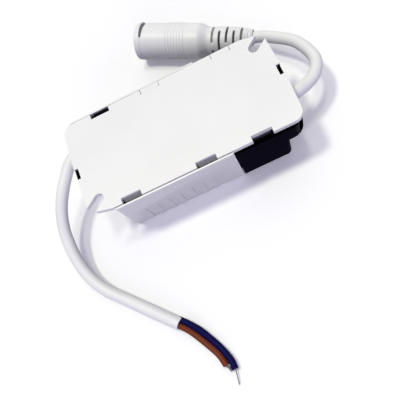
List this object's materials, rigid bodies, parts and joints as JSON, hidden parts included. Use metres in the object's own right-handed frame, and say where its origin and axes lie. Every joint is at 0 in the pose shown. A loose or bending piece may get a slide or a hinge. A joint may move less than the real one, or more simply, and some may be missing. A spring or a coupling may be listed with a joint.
{
  "type": "led driver",
  "caption": "Slim plastic LED driver: flat snap-in fixing plate, moulded housing with a dark output end, mains input cable with bared cores and an output cable with a round DC socket.",
  "frame": {"origin": "centre of the case's footprint, on the face it lies on, which is the housing's moulded top; the cables and the connector are left out", "axes": "+X along the case from the input end to the output end, +Z out of the fixing plate, +Y across the case to the side of the input cable"},
  "size_m": [0.0923, 0.1164, 0.02],
  "materials": {
    "white_case": "fine moulded, warm white",
    "black_case": "smooth moulded, black",
    "white_cable": "soft white insulation",
    "brown_core": "soft brown insulation",
    "blue_core": "soft dark blue insulation",
    "red_core": "soft red insulation",
    "black_core": "soft black insulation",
    "tinned_copper": "tinned stranded copper",
    "nickel": "bright nickel plate",
    "black_moulding": "black moulding compound",
    "board": "pressed laminate, tan",
    "ferrite": "sintered ferrite, dark grey",
    "tape": "yellow insulating tape",
    "green_coat": "green lacquer",
    "blue_coat": "blue epoxy dip",
    "yellow_box": "yellow moulded box",
    "capacitor_sleeve": "shrink sleeve, dark"
  },
  "bodies": {
    "root": {"base_plate": "white_case", "main_housing": "white_case", "end_housing": "black_case", "input_cable": "white_cable", "brown_wire": "brown_core", "blue_wire": "blue_core", "brown_strands": "tinned_copper", "blue_strands": "tinned_copper", "output_cable": "white_cable", "connector_shell": "white_cable", "socket_insert": "white_case", "centre_pin": "nickel", "contact_spring": "nickel", "input_cable_clamp": "black_moulding", "output_cable_clamp": "black_moulding", "inner_live_wire": "brown_core", "inner_neutral_wire": "blue_core", "inner_plus_wire": "red_core", "inner_minus_wire": "black_core", "circuit_board": "board", "fuse_resistor": "green_coat", "varistor": "blue_coat", "film_capacitor": "yellow_box", "bridge_rectifier": "black_moulding", "input_choke": "ferrite", "bulk_capacitor": "capacitor_sleeve", "power_transistor": "black_moulding", "startup_resistor": "blue_coat", "snubber_capacitor": "blue_coat", "snubber_diode": "black_moulding", "driver_chip": "black_moulding", "transformer_core_input": "ferrite", "transformer_core_output": "ferrite", "transformer_bobbin": "black_moulding", "transformer_winding": "tape", "safety_capacitor": "blue_coat", "load_resistor": "green_coat", "output_diode": "black_moulding", "output_capacitor": "capacitor_sleeve"}
  },
  "joints": []
}
